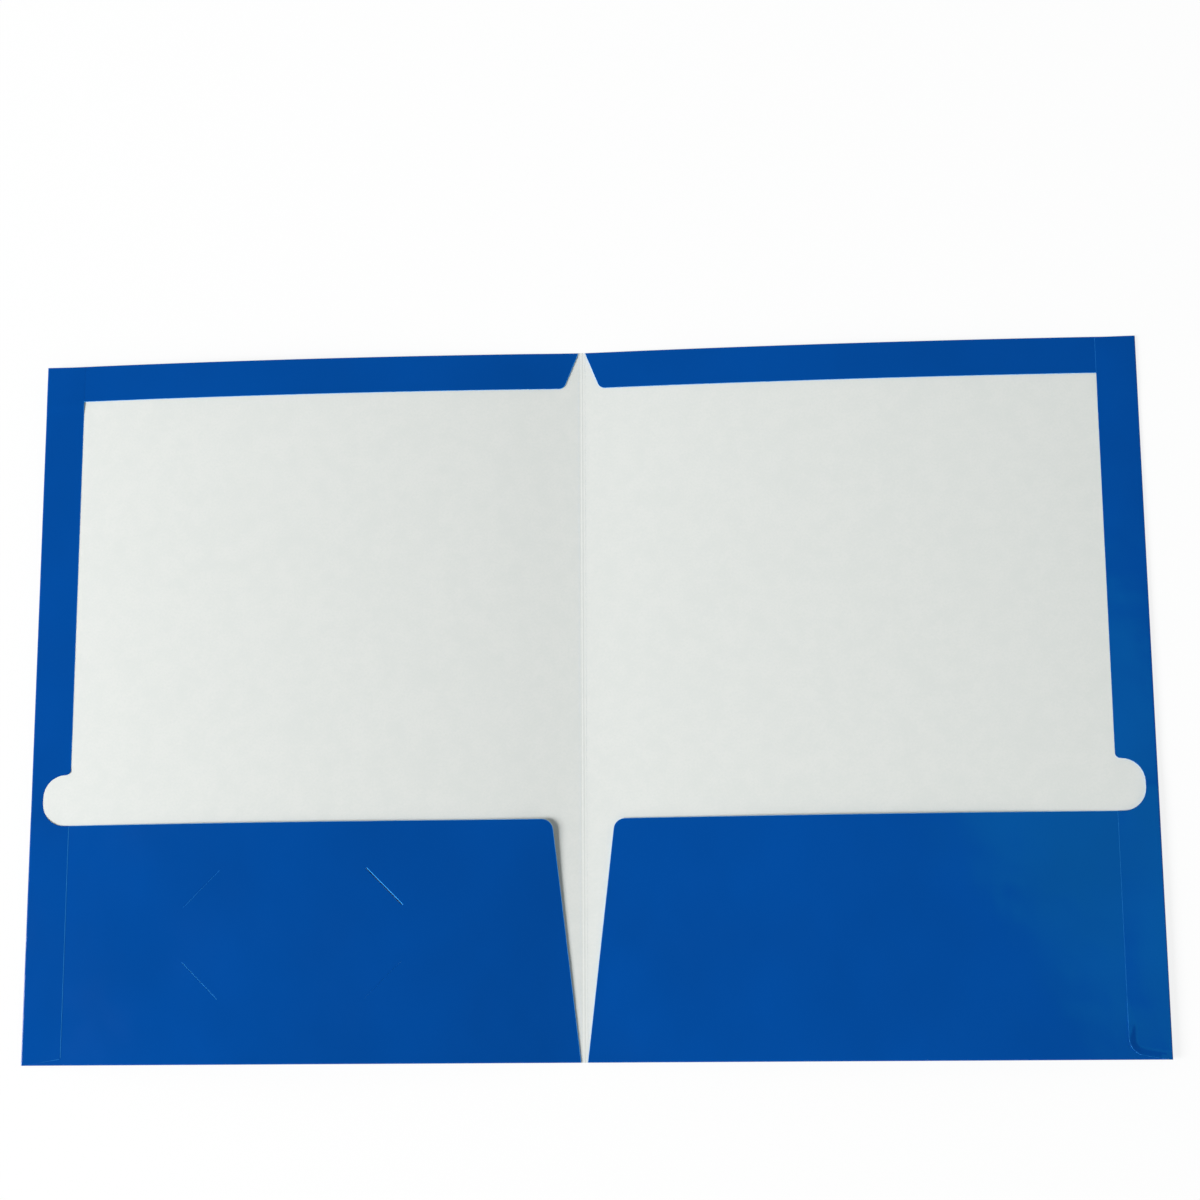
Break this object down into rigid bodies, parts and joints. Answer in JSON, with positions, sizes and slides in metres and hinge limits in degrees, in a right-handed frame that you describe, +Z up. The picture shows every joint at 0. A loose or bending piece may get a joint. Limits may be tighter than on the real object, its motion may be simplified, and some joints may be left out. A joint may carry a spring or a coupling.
{
  "type": "two pocket folder",
  "caption": "Open pocket folder of glossy board: covers that fold shut at a spine crease, hemmed edges, sheet pockets along the foot and slits for a business card.",
  "frame": {"origin": "on the table, under the middle of the spine crease, with the folder lying open and flat", "axes": "+X across to the right cover, +Y along the spine to the top hems, +Z up from the table"},
  "size_m": [0.4572, 0.2922, 0.0012],
  "materials": {
    "gloss_blue_board": "gloss",
    "white_inside": "matt",
    "glue": "matt"
  },
  "bodies": {
    "right_cover": {"right_cover_panel": "white_inside", "right_top_fold": "gloss_blue_board", "right_top_hem": "gloss_blue_board", "right_side_fold": "gloss_blue_board", "right_side_hem": "gloss_blue_board", "right_pocket_fold": "gloss_blue_board", "right_pocket_front": "gloss_blue_board", "right_top_glue": "glue", "right_side_glue": "glue", "right_corner_glue": "glue", "right_pocket_glue": "glue", "spine_crease": "white_inside"},
    "left_cover": {"left_cover_panel": "white_inside", "left_top_fold": "gloss_blue_board", "left_top_hem": "gloss_blue_board", "left_side_fold": "gloss_blue_board", "left_side_hem": "gloss_blue_board", "left_pocket_fold": "gloss_blue_board", "left_pocket_front": "gloss_blue_board", "left_top_glue": "glue", "left_side_glue": "glue", "left_corner_glue": "glue", "left_pocket_glue": "glue"}
  },
  "joints": [
    {"name": "spine_fold", "type": "hinge", "parent": "right_cover", "child": "left_cover", "pos_m": [0, 0, 0.001], "axis": [0, 1, 0], "range_deg": [0, 178], "deforming": ["spine_crease"]}
  ]
}
